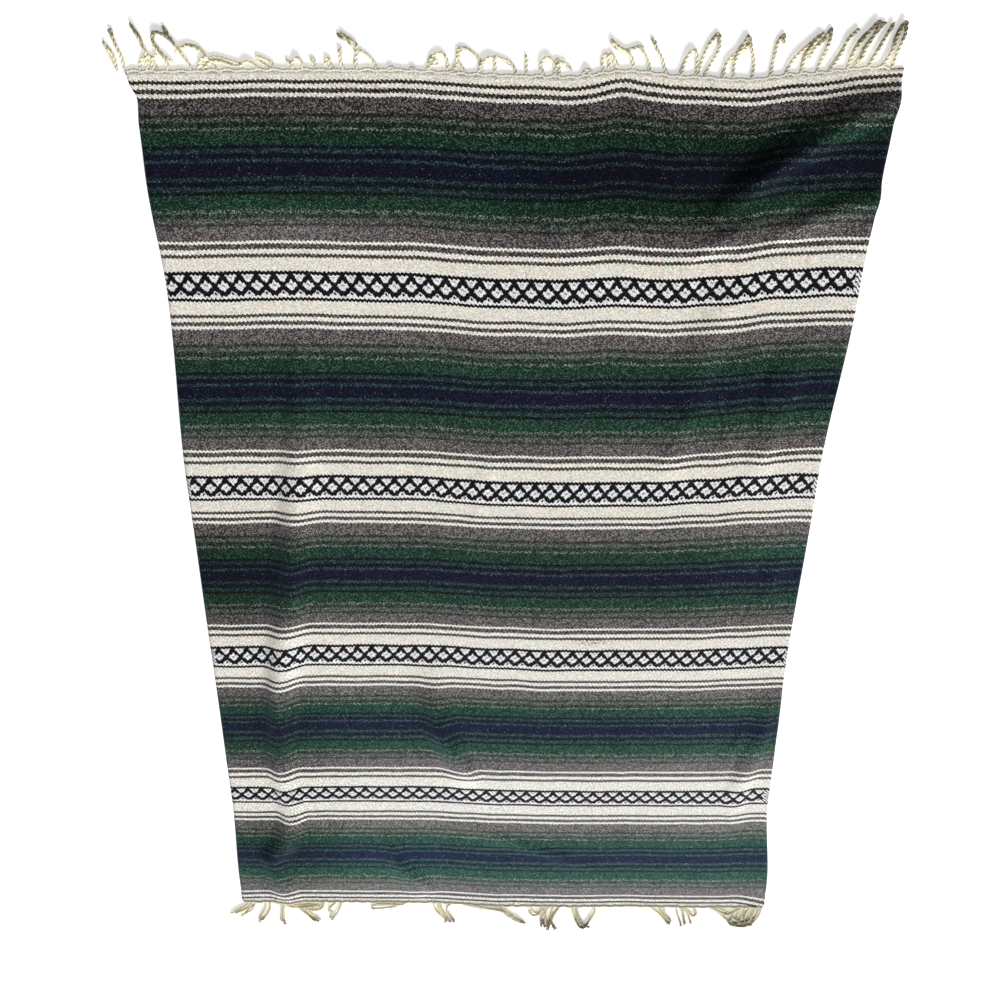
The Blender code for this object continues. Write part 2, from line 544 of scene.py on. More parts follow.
def stripe_ramp(t, phase, column):
    """One yarn of each stripe in the repeat, with the stripe's share of flecks as its alpha."""
    ramp = add(t, "ShaderNodeValToRGB", (phase,))
    ramp.color_ramp.interpolation = "CONSTANT"
    stops = ramp.color_ramp.elements
    stops.remove(stops[1])
    at = 0.0
    for i, row in enumerate(STRIPES):
        stop = stops[0] if i == 0 else stops.new(at * MM / REPEAT)
        stop.color = (*linear(row[column])[:3], row[3])
        at += row[0]
    return ramp


def figured_band(t, u, down):
    """1 where a figured band is black. down is 0 at its upper edge and 1 at its lower edge.

    On the chart, a is how far a step is from the middle of a diamond and aside how far it is from
    the middle of a triangle, as shares of the pitch; b is how far down its row of weft is.
    """
    steps = add(t, MATH, (u, STEPS_ACROSS / FIGURE_PITCH), operation="MULTIPLY")
    steps = add(t, MATH, (steps,), operation="FLOOR")
    turn = add(t, MATH, (steps, 1 / STEPS_ACROSS), operation="MULTIPLY")
    turn = add(t, MATH, (turn,), operation="FRACT")
    turn = add(t, MATH, (turn, 0.5 - 0.5 / STEPS_ACROSS), operation="SUBTRACT")
    a = add(t, MATH, (turn,), operation="ABSOLUTE")
    aside = add(t, MATH, (0.5, a), operation="SUBTRACT")
    rows = add(t, MATH, (down, STEPS_DOWN), operation="MULTIPLY")
    rows = add(t, MATH, (rows,), operation="FLOOR")
    b = add(t, MATH, (rows, 1 / STEPS_DOWN, 0.5 / STEPS_DOWN), operation="MULTIPLY_ADD")
    # the white diamond between the crossings
    above = add(t, MATH, (b, -1 / DIAMOND_ABOVE, DIAMOND_MIDDLE / DIAMOND_ABOVE),
                operation="MULTIPLY_ADD")
    below = add(t, MATH, (b, 1 / DIAMOND_BELOW, -DIAMOND_MIDDLE / DIAMOND_BELOW),
                operation="MULTIPLY_ADD")
    level = add(t, MATH, (above, below), operation="MAXIMUM")
    spread = add(t, MATH, (a, 1 / DIAMOND_ASIDE, level), operation="MULTIPLY_ADD")
    diamond = add(t, MATH, (spread, 1.0), operation="LESS_THAN")
    # the white triangle that hangs from the upper line
    point = add(t, MATH, (aside, -TRIANGLE_SLOPE, TRIANGLE_DEPTH), operation="MULTIPLY_ADD")
    triangle = add(t, MATH, (b, point), operation="LESS_THAN")
    # the white mound on the lower side, and the white row that it stands on
    roof = add(t, MATH, (aside, MOUND_SLOPE, MOUND_TOP), operation="MULTIPLY_ADD")
    roof = add(t, MATH, (roof, MOUND_FOOT), operation="MINIMUM")
    mound = add(t, MATH, (b, roof), operation="GREATER_THAN")
    white = add(t, MATH, (diamond, triangle), operation="MAXIMUM")
    white = add(t, MATH, (white, mound), operation="MAXIMUM")
    ink = add(t, MATH, (1.0, white), operation="SUBTRACT")
    # the black dot in the mound, and the grey stitches in the diamond and the triangle
    for figure, middle, width, height, strength in STITCHES:
        off = a if figure == "diamond" else aside
        dot_x = add(t, MATH, (off, 1 / width), operation="MULTIPLY")
        dot_x = add(t, MATH, (dot_x, 2.0), operation="POWER")
        dot_y = add(t, MATH, (b, 1 / height, -middle / height), operation="MULTIPLY_ADD")
        dot = add(t, MATH, (dot_y, dot_y, dot_x), operation="MULTIPLY_ADD")
        dot = add(t, MATH, (dot, 1.0), operation="LESS_THAN")
        dot = add(t, MATH, (dot, strength), operation="MULTIPLY")
        ink = add(t, MATH, (ink, dot), operation="MAXIMUM")
    # the slanting strokes beside the selvages
    edge = add(t, MATH, (FLAT_WIDTH, u), operation="SUBTRACT")
    edge = add(t, MATH, (edge, u), operation="MINIMUM")
    edge = add(t, MATH, (edge, STROKED_EDGE), operation="LESS_THAN")
    stroke = add(t, MATH, (u, -1 / STROKE_PITCH), operation="MULTIPLY")
    stroke = add(t, MATH, (down, STROKES_DOWN, stroke), operation="MULTIPLY_ADD")
    stroke = add(t, MATH, (stroke,), operation="FRACT")
    stroke = add(t, MATH, (stroke, STROKE_GAP), operation="GREATER_THAN")
    ink = add(t, "ShaderNodeMix", {"Factor": edge, "A": ink, "B": stroke})
    # the two plain lines that close the band
    first = add(t, MATH, (down, LINE_HEIGHT / BAND_HEIGHT), operation="LESS_THAN")
    last = add(t, MATH, (down, 1.0 - LOWER_LINE_HEIGHT / BAND_HEIGHT), operation="GREATER_THAN")
    ink = add(t, MATH, (ink, first), operation="MAXIMUM")
    return add(t, MATH, (ink, last), operation="MAXIMUM")


def pattern_turns(t, flat, warps, beat):
    """How many repeats down the woven pattern a point is. The stripes wander with the beat, step
    back at each turn of the weft round the warp, and are blurred by the nap."""
    figure = add(t, "ShaderNodeUVMap", uv_map="figure")
    figure_xy = add(t, "ShaderNodeSeparateXYZ", (figure,))
    tooth = add(t, MATH, (warps,), operation="SINE")
    lean = add(t, MATH, (warps, 2.0), operation="MULTIPLY")
    lean = add(t, MATH, (lean,), operation="SINE")
    tooth = add(t, MATH, (lean, 0.3, tooth), operation="MULTIPLY_ADD")
    tooth = add(t, MATH, (tooth, TOOTH), operation="MULTIPLY")
    fuzz = add(t, "ShaderNodeTexNoise", {"Vector": flat, "Scale": TUFTS, "Detail": 2.0})
    fuzz = add(t, MATH, (fuzz, FUZZ_SHIFT, -FUZZ_SHIFT / 2), operation="MULTIPLY_ADD")
    place = add(t, MATH, (figure_xy.outputs[1], tooth), operation="ADD")
    place = add(t, MATH, (place, beat), operation="ADD")
    place = add(t, MATH, (place, fuzz), operation="ADD")
    return add(t, MATH, (place, 1 / REPEAT), operation="MULTIPLY")


def striped_yarn(t, turns, chance):
    """The yarn of the stripes, and how much of a fleck each float is. A stripe's share of flecks
    is the chance that one of its floats is spun from the second colour."""
    phase = add(t, MATH, (turns,), operation="FRACT")
    ground = stripe_ramp(t, phase, 1)
    flecks = stripe_ramp(t, phase, 2)
    least = add(t, MATH, (1.0 - MIXED, ground.outputs["Alpha"]), operation="SUBTRACT")
    most = add(t, MATH, (1.0 + MIXED, ground.outputs["Alpha"]), operation="SUBTRACT")
    fleck = add(t, "ShaderNodeMapRange", {"Value": chance.outputs[0], "From Min": least,
                                          "From Max": most})
    colour = add(t, "ShaderNodeMix", {0: fleck, 6: ground, 7: flecks}, data_type="RGBA")
    return colour.outputs[2], fleck


def painted_haze_and_lint(t, colour, chance, to_foot):
    """The painted haze of sheen that the dark yarns take on towards the foot, and pale lint caught
    in the nap.
    """
    # painted haze of sheen, stronger towards the foot
    colour = add(t, "ShaderNodeMix", {0: to_foot, 6: colour, 7: linear(PAINTED_SHEEN_HAZE)},
                 data_type="RGBA", blend_type="ADD")
    lint = add(t, MATH, (chance.outputs[2], LINT_SHARE), operation="LESS_THAN")
    lint = add(t, MATH, (lint, LINT_COVER), operation="MULTIPLY")
    colour = add(t, "ShaderNodeMix", {0: lint, 6: colour.outputs[2], 7: linear(LINT)},
                 data_type="RGBA", blend_type="LIGHTEN")
    return colour.outputs[2]


def with_bands(t, colour, fleck, turns, u, beat):
    """The figured bands, bleach-white and black, over the middle of each joint of two repeats."""
    middle = add(t, MATH, (turns, 0.5), operation="ADD")
    middle = add(t, MATH, (middle,), operation="FRACT")
    down = add(t, MATH, (middle, REPEAT / BAND_HEIGHT, 0.5 - 0.5 * REPEAT / BAND_HEIGHT),
               operation="MULTIPLY_ADD")
    start = add(t, MATH, (down, 0.0), operation="GREATER_THAN")
    end = add(t, MATH, (down, 1.0), operation="LESS_THAN")
    inside = add(t, MATH, (start, end), operation="MULTIPLY")
    drift = add(t, MATH, (beat, 0.8, u), operation="MULTIPLY_ADD")
    field = add(t, MATH, (turns,), operation="ROUND")
    for i, begin in enumerate(BAND_STARTS):
        here = add(t, MATH, (field, i + 1.0, 0.5), operation="COMPARE")
        drift = add(t, MATH, (here, -begin * MM, drift), operation="MULTIPLY_ADD")
    ink = figured_band(t, drift, down)
    white, black = [add(t, "ShaderNodeMix", {0: fleck, 6: linear(plain), 7: linear(flecked)},
                        data_type="RGBA").outputs[2]
                    for plain, flecked in (BAND_WHITES, BAND_BLACKS)]
    band = add(t, "ShaderNodeMix", {0: ink, 6: white, 7: black}, data_type="RGBA")
    colour = add(t, "ShaderNodeMix", {0: inside, 6: colour, 7: band.outputs[2]}, data_type="RGBA")
    return colour.outputs[2]


def painted_cool_white(t, colour, to_foot):
    """The light yarn, whiter towards the foot: painted light, for the cooler, brighter light there.
    """
    # painted light: the whites whiter towards the foot
    light = add(t, "ShaderNodeRGBToBW", (colour,))
    light = add(t, "ShaderNodeMapRange", (light, 0.45, 0.65, 0.0, PAINTED_COOL_WHITE_SHARE))
    light = add(t, MATH, (light, to_foot), operation="MULTIPLY")
    colour = add(t, "ShaderNodeMix", {0: light, 6: colour, 7: linear(PAINTED_COOL_WHITE)}, data_type="RGBA")
    return colour.outputs[2]


def knot_shade(t, colour, u, v, beat):
    """The shade between the knots, in dashes at the very edge of the head end."""
    knot = add(t, MATH, (u, 1 / SCALLOP), operation="MULTIPLY")
    knot = add(t, MATH, (beat, 160.0, knot), operation="MULTIPLY_ADD")
    knot = add(t, MATH, (knot,), operation="FRACT")
    knot = add(t, MATH, (knot, KNOT_DASH), operation="LESS_THAN")
    brink = add(t, MATH, (v, CLOTH_LENGTH / 2 - KNOT_EDGE), operation="GREATER_THAN")
    knot = add(t, MATH, (knot, brink), operation="MULTIPLY")
    knot = add(t, MATH, (knot, KNOT_DARKNESS), operation="MULTIPLY")
    colour = add(t, "ShaderNodeMix", {0: knot, 6: colour, 7: linear(KNOT_SHADE)},
                 data_type="RGBA")
    return colour.outputs[2]


def dyed_in_lots(t, colour, flat):
    """The dye lots: the yarn runs a little redder and greener in patches."""
    lot = add(t, "ShaderNodeTexNoise", {"Vector": flat, "Scale": DYE_LOTS, "Detail": 3.0})
    lot = add(t, "ShaderNodeMapRange", (lot, 0.35, 0.65, 0.0, 1.0))
    redder, greener = DYE_LOT_TINTS
    tint = add(t, "ShaderNodeMix", {0: lot, 6: linear(redder), 7: linear(greener)},
               data_type="RGBA")
    colour = add(t, "ShaderNodeMix", {0: 1.0, 6: colour, 7: tint.outputs[2]},
                 data_type="RGBA", blend_type="MULTIPLY")
    return colour.outputs[2]


def uneven_nap(t, colour, flat, v, chance, to_foot):
    """Each float's own shade, and towards the foot the clumps of felted nap and richer colours,
    painted for the light there.
    """
    shade = add(t, "ShaderNodeMapRange", (chance.outputs[1], 0.0, 1.0, *FLOAT_SHADES))
    clump = add(t, "ShaderNodeTexNoise", {"Vector": flat, "Scale": CLUMPS, "Detail": 1.0})
    clump = add(t, MATH, (clump, 0.5), operation="SUBTRACT")
    clump = add(t, MATH, (clump, to_foot), operation="MULTIPLY")
    clump = add(t, MATH, (clump, CLUMP_SHADE, 1.0), operation="MULTIPLY_ADD")
    shade = add(t, MATH, (shade, clump), operation="MULTIPLY")
    # richer colours towards the foot: painted light
    painted_richness = add(t, "ShaderNodeMapRange", (v, -0.10, -CLOTH_LENGTH / 2, 1.0, PAINTED_LIGHT_RICHNESS))
    return add(t, "ShaderNodeHueSaturation", {"Saturation": painted_richness, "Value": shade,
                                              "Color": colour})


def away_from(t, place, x, y, across, along):
    """How far a place is from (x, y): 0 there, and 1 where the reach across or along ends."""
    away = add(t, VECTOR, (place, (x, y, 0.0)), operation="SUBTRACT")
    away = add(t, VECTOR, (away, (1 / across, 1 / along, 0.0)), operation="MULTIPLY")
    return add(t, VECTOR, (away,), operation="LENGTH").outputs["Value"]


def yarn_lots_and_painted_light(t, colour, v, place):
    """The yarn lots with painted light and shade along the warp, and the patches of painted shade
    and painted light.
    """
    lots_and_light = 0.0
    # painted light and shade along the warp, partly the yarn lots
    for start, stop, change in YARN_LOTS_AND_PAINTED_LIGHT:
        part = add(t, "ShaderNodeMapRange", (v, start, stop, 0.0, change))
        lots_and_light = add(t, MATH, (lots_and_light, part), operation="ADD")
    # patches of painted shade, and of painted light where the change is below zero
    for x, y, across, along, change in PAINTED_SHADE_PATCHES:
        away = away_from(t, place, x, y, across, along)
        part = add(t, "ShaderNodeMapRange", (away, 1.0, 0.0, 0.0, change),
                   interpolation_type="SMOOTHSTEP")
        lots_and_light = add(t, MATH, (lots_and_light, part), operation="ADD")
    lots_and_light = add(t, MATH, (1.0, lots_and_light), operation="ADD")
    return add(t, "ShaderNodeGamma", (colour, lots_and_light))


def stained(t, colour, flat, place):
    """The one faint brown stain, broken into spots."""
    away = away_from(t, place, *STAIN)
    spots = add(t, "ShaderNodeTexNoise", {"Vector": flat, "Scale": SPOTS, "Detail": 2.0})
    spots = add(t, "ShaderNodeMapRange", (spots, 0.44, 0.62, 0.0, 0.90))
    stain = add(t, "ShaderNodeMapRange", (away, 1.0, 0.3, 0.0, 1.0))
    stain = add(t, MATH, (stain, spots), operation="MULTIPLY")
    colour = add(t, "ShaderNodeMix", {0: stain, 6: colour, 7: linear(STAIN_TINT)},
                 data_type="RGBA", blend_type="MULTIPLY")
    return colour.outputs[2]


def woven_cotton():
    """Falsa cloth: thick recycled yarn beaten over a hidden cotton warp. It is matt and fuzzy, each
    float is spun from mixed scraps, and the stripe edges are saw-toothed where the weft turns."""
    material, t = new_material("weft_faced_recycled_cotton")
    flat = add(t, "ShaderNodeUVMap", uv_map="flat")
    flat_xy = add(t, "ShaderNodeSeparateXYZ", (flat,))
    u = flat_xy.outputs[0]
    v = flat_xy.outputs[1]
    place = add(t, "ShaderNodeTexCoord").outputs["Object"]
    to_foot = add(t, "ShaderNodeMapRange", (v, 0.10, -CLOTH_LENGTH / 2, 0.0, 1.0))
    warps = add(t, MATH, (u, 1 / WARP_PITCH), operation="MULTIPLY")
    warps = add(t, MATH, (warps, 2 * math.pi), operation="MULTIPLY")
    beat = add(t, "ShaderNodeTexNoise", {"Vector": flat, "Scale": BEAT_WAVES, "Detail": 2.0})
    beat = add(t, MATH, (beat, BEAT_SHIFT, -BEAT_SHIFT / 2), operation="MULTIPLY_ADD")
    turns = pattern_turns(t, flat, warps, beat)
    # each float of the weft is one cell, which draws its own three chances
    cell = add(t, VECTOR, (flat, (1 / FLOAT_LENGTH, 1 / FLOAT_HEIGHT, 1.0)), operation="MULTIPLY")
    floats = add(t, "ShaderNodeTexVoronoi", {"Vector": cell, "Scale": 1.0, "Randomness": 0.9},
                 voronoi_dimensions="2D")
    chance = add(t, "ShaderNodeSeparateColor", (floats.outputs["Color"],))
    colour, fleck = striped_yarn(t, turns, chance)
    colour = painted_haze_and_lint(t, colour, chance, to_foot)
    colour = with_bands(t, colour, fleck, turns, u, beat)
    colour = painted_cool_white(t, colour, to_foot)
    colour = knot_shade(t, colour, u, v, beat)
    colour = dyed_in_lots(t, colour, flat)
    colour = uneven_nap(t, colour, flat, v, chance, to_foot)
    colour = yarn_lots_and_painted_light(t, colour, v, place)
    colour = stained(t, colour, flat, place)
    # the relief: rounded floats in rows, with a shallow groove at each warp end
    groove = add(t, MATH, (warps,), operation="SINE")
    relief = add(t, MATH, (groove, 0.18, 0.5), operation="MULTIPLY_ADD")
    relief = add(t, MATH, (relief, floats.outputs["Distance"]), operation="SUBTRACT")
    bump = add(t, "ShaderNodeBump", {"Height": relief, "Distance": FLOAT_RELIEF,
                                     "Strength": 0.7})
    shader = add(t, "ShaderNodeBsdfPrincipled",
                 {"Base Color": colour, "Roughness": 0.85, "Specular IOR Level": 0.10,
                  "Sheen Weight": 0.12, "Sheen Roughness": 0.35, "Sheen Tint": linear("C5DCFF"),
                  "Normal": bump})
    add(t, "ShaderNodeOutputMaterial", (shader,))
    return material


def cotton_cord():
    """Unbleached cotton warp ends, twisted and knotted by hand: cream and matt, with painted olive
    shade in mottles, greyer towards the tips."""
    material, t = new_material("twisted_unbleached_cotton")
    place = add(t, "ShaderNodeTexCoord").outputs["Object"]
    along = add(t, "ShaderNodeSeparateXYZ", (place,)).outputs[1]
    edge = CLOTH_LENGTH / 2
    # mottles of painted olive shade, growing towards the tips
    shade_mottle = add(t, "ShaderNodeTexNoise", {"Vector": place, "Scale": SPOTS, "Detail": 3.0})
    reach = add(t, MATH, (along,), operation="ABSOLUTE")
    painted_shade = add(t, "ShaderNodeMapRange", (reach, edge + PAINTED_SHADE_FROM, edge + PAINTED_SHADE_TO,
                                         -0.15, 0.45))
    painted_shade = add(t, MATH, (shade_mottle, painted_shade), operation="ADD")
    painted_shade = add(t, "ShaderNodeMapRange", (painted_shade, 0.42, 0.75, 0.0, 1.0))
    colour = add(t, "ShaderNodeMix", {0: painted_shade, 6: linear(CORD_CREAM), 7: linear(CORD_PAINTED_SHADE)},
                 data_type="RGBA")
    near = add(t, "ShaderNodeMapRange", (along, edge, edge + DULL_REACH, 1.0, 0.0))
    head = add(t, MATH, (along, 0.0), operation="GREATER_THAN")
    near = add(t, MATH, (near, head), operation="MULTIPLY")
    colour = add(t, "ShaderNodeMix", {0: near, 6: colour.outputs[2], 7: linear(CORD_DULL)},
                 data_type="RGBA")
    fibre = add(t, "ShaderNodeTexNoise", {"Vector": place, "Scale": FIBRES})
    bump = add(t, "ShaderNodeBump", {"Height": fibre, "Distance": 0.3 * MM, "Strength": 0.6})
    shader = add(t, "ShaderNodeBsdfPrincipled",
                 {"Base Color": colour.outputs[2], "Roughness": 0.85, "Specular IOR Level": 0.15,
                  "Sheen Weight": 0.15, "Normal": bump})
    add(t, "ShaderNodeOutputMaterial", (shader,))
    return material


def floor_finish():
    """A matt white studio floor, lit a little from within like a light table."""
    material, t = new_material("glowing_white_studio_floor")
    shader = add(t, "ShaderNodeBsdfPrincipled", {"Base Color": linear("FAFAFA"), "Roughness": 0.9,
                                                 "Specular IOR Level": 0.1,
                                                 "Emission Color": linear("FFFFFF"),
                                                 "Emission Strength": 0.32})
    add(t, "ShaderNodeOutputMaterial", (shader,))
    return material


# ---------------------------------------------------------------- the woven panel


def middle_of(stripe):
    """How far the middle of a stripe is from the start of the repeat."""
    return (sum(row[0] for row in STRIPES[:stripe]) + STRIPES[stripe][0] / 2) * MM


def pattern_place(y):
    """How far down the woven pattern a place along the warp is, from the stripes' own marks."""
    line = (BAND_HEIGHT - LINE_HEIGHT) / 2
    marks = [line, *[middle_of(stripe) for stripe in MARKED_STRIPES], REPEAT - line]
    known = np.array([[mark + field * REPEAT for mark in marks]
                      for field in range(len(FIELD_PLACES))])
    known[0, 0] = STRIPES[0][0] * MM - HEAD_HEADER
    known[-1, -1] = known[-1, 0] - line + REPEAT - STRIPES[-1][0] * MM + FOOT_HEADER
    places = np.array(FIELD_PLACES)
    return np.interp(-y, -places.ravel(), known.ravel())


def slip(x, y):
    """How far the weft lies towards the head of its place, where it was beaten askew."""
    away = [amount * ease(1.0 - np.hypot((x - at_x) / reach_x, (y - at_y) / reach_y))
            for at_x, at_y, reach_x, reach_y, amount in SLIPS]
    return sum(away) * MM


def make_panel():
    """The woven panel: a shell with a map of the flat cloth and one of the woven pattern."""
    share = np.linspace(0.0, 1.0, GRID_ACROSS + 1)
    along = np.linspace(-0.5, 0.5, GRID_ALONG + 1) * CLOTH_LENGTH
    s, y = np.meshgrid(share, along)
    points = cloth_form(s, y)
    step = np.hypot(np.diff(points[..., 0], axis=1), np.diff(points[..., 2], axis=1))
    run = np.concatenate([np.zeros((len(along), 1)), np.cumsum(step, axis=1)], axis=1)
    across = run / run[:, -1:] * FLAT_WIDTH
    columns = GRID_ACROSS + 1
    faces = [(first, first + 1, first + columns + 1, first + columns)
             for row in range(GRID_ALONG)
             for first in range(row * columns, row * columns + GRID_ACROSS)]
    mesh = bpy.data.meshes.new("serape_panel")
    mesh.from_pydata(points.reshape(-1, 3).tolist(), [], faces)
    corner = np.zeros(len(mesh.loops), dtype=np.int32)
    mesh.loops.foreach_get("vertex_index", corner)
    for name, second in (("flat", y), ("figure", pattern_place(y - slip(points[..., 0], y)))):
        layer = mesh.uv_layers.new(name=name)
        pair = np.stack([across.ravel()[corner], second.ravel()[corner]], axis=-1)
        layer.data.foreach_set("uv", pair.ravel().astype(np.float32))
    mesh.shade_smooth()
    panel = bpy.data.objects.new("serape_panel", mesh)
    bpy.context.scene.collection.objects.link(panel)
    shell = panel.modifiers.new("thickness", "SOLIDIFY")
    shell.thickness = CLOTH_THICKNESS
    shell.offset = 1.0
    panel.data.materials.append(woven_cotton())
    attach(panel, "root")
    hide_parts("woven_panel")
    return panel


# ---------------------------------------------------------------- the fringe

PLY_RADIUS = 1.75 * MM
PLY_OFFSET = 1.45 * MM
TURN_LENGTH = 15.0 * MM
CORD_STEP = 2.0 * MM
PLY_SIDES = 6
CORD_RADIUS = PLY_RADIUS + PLY_OFFSET
# A cord lies on the floor from this far beyond the cloth's edge, in millimetres. Every third cord
# lies a layer above the last.
SETTLED = 12.0
LAYER = 2.0 * MM
# How thick a line is, as a share of a cord: from the edge out, at the knot, and of a scallop.
ROOT = (0.60, 0.72, 0.86)
KNOT = (1.10, 1.18, 1.05, 0.80)
SCALLOP_THICKNESS = 0.62
# The same share, from the root to the tip, of a stray yarn and of a fibre of a frayed tip.
STRAY_THICKNESS = (0.50, 0.38)
FIBRE_THICKNESS = (0.34, 0.15)
# How far a stray yarn lies from its cord, in millimetres.
STRAY = 2.2

# The warp ends left free, each a cord through listed points, in millimetres: x, and how
# far beyond the cloth's edge. A cord that goes out and comes back is a loop.
HEAD_CORDS = (
    # the left corner, with a long tail
    ((-652, 0), (-655, 22), (-668, 41)),
    ((-640, 0), (-642, 20), (-650, 44), (-655, 60)),
    ((-602, 0), (-600, 15), (-598, 24), (-604, 38), (-609, 50), (-618, 68)),
    ((-614, 0), (-611, 12), (-604, 22), (-596, 23), (-589, 15), (-586, 3)),
    ((-592, 0), (-590, 15), (-584, 22), (-576, 25), (-567, 19), (-560, 13)),
    ((-567, 0), (-568, 14), (-581, 30), (-585, 46), (-581, 55), (-571, 54), (-561, 48), (-549, 35),
     (-538, 19), (-531, 9), (-527, 0)),
    ((-563, 48), (-561, 55), (-565, 62)),
    ((-549, 29), (-537, 34), (-526, 35), (-512, 30), (-500, 18), (-489, 5), (-486, 0)),
    ((-516, 2), (-509, 15), (-498, 18)),
    # cords lying flat along the edge
    ((-515, 4), (-500, 15), (-488, 19), (-474, 17), (-458, 12), (-444, 8)),
    ((-506, 3), (-492, 12), (-474, 11), (-458, 5)),
    ((-447, 4), (-435, 11), (-423, 7), (-416, 0)),
    ((-390, 0), (-394, 8), (-404, 15), (-417, 19), (-413, 12), (-400, 4), (-396, 0)),
    ((-369, 13), (-362, 7), (-358, 0)),
    ((-359, 0), (-356, 12), (-349, 16), (-343, 9), (-341, 0)),
    # three short single ends
    ((-320, 0), (-323, 8), (-329, 16)),
    ((-296, 0), (-297, 10), (-300, 17), (-304, 6)),
    ((-273, 0), (-277, 8), (-279, 29)),
    # two legs knotted into one tail
    ((-219, 0), (-227, 15), (-237, 23), (-248, 29), (-256, 36), (-264, 41), (-280, 48)),
    ((-251, 0), (-252, 12), (-250, 25), (-250, 36), (-261, 43), (-275, 53)),
    ((-200, 0), (-196, 4), (-190, 0)),
    ((-164, 0), (-159, 4), (-153, 0)),
    # the three loops left of the middle
    ((-129, 0), (-131, 10), (-126, 19), (-118, 26), (-108, 26), (-100, 14), (-100, 0)),
    ((-136, 2), (-130, 6), (-122, 12), (-121, 18)),
    ((-97, 0), (-88, 7), (-81, 20), (-84, 31), (-78, 37), (-66, 35), (-55, 27), (-48, 19),
     (-43, 6)),
    ((-71, 0), (-78, 10), (-84, 18), (-82, 28)),
    ((-50, 2), (-43, 15), (-32, 24), (-23, 23), (-21, 12), (-22, 0)),
    ((-46, 5), (-36, 20), (-20, 25), (-8, 23), (4, 18), (12, 8), (14, 0)),
    ((31, 0), (31, 14), (32, 27)),
    ((58, 0), (54, 13), (60, 25), (70, 26), (77, 17), (81, 4)),
    ((84, 0), (86, 14), (79, 24), (90, 21), (107, 10)),
    ((76, 0), (80, 12), (86, 20), (98, 19)),
    ((124, 2), (131, 9), (138, 4), (131, 1)),
    # the crossed pair right of the middle
    ((160, 0), (157, 16), (162, 27), (168, 18), (169, 4)),
    ((166, 20), (171, 26), (177, 17), (184, 6)),
    ((170, 46), (180, 36), (194, 27), (204, 19), (209, 9), (208, 0)),
    ((188, 30), (199, 28), (215, 34), (227, 24), (235, 11), (237, 0)),
    ((264, 0), (256, 21), (246, 34), (242, 46)),
    # the upright leaves at the right
    ((289, 0), (297, 27), (306, 37), (313, 30), (314, 10)),
    ((317, 0), (322, 22), (332, 47), (346, 64), (350, 52), (348, 38), (338, 20), (328, 2)),
    ((360, 0), (363, 21), (379, 38), (395, 46), (398, 62), (402, 47), (409, 23), (408, 0)),
    ((377, 0), (376, 20), (383, 40), (394, 60)),
    ((438, 0), (441, 25), (446, 50), (455, 59), (455, 47)),
    ((463, 0), (473, 20), (488, 34), (504, 47), (514, 55)),
    ((488, 0), (494, 25), (505, 42), (517, 55)),
    ((515, 0), (520, 18), (529, 38), (531, 60), (524, 50), (508, 36), (500, 22)),
    ((536, 0), (551, 21), (560, 43), (576, 56)),
    ((565, 0), (572, 24), (588, 45), (606, 66), (603, 50), (592, 28), (586, 10)),
    ((578, 2), (590, 30), (606, 50), (614, 66)),
    ((600, 0), (612, 24), (622, 46), (632, 64)),
    ((622, 0), (634, 22), (640, 44), (650, 66), (652, 48), (644, 22), (640, 0)),
)
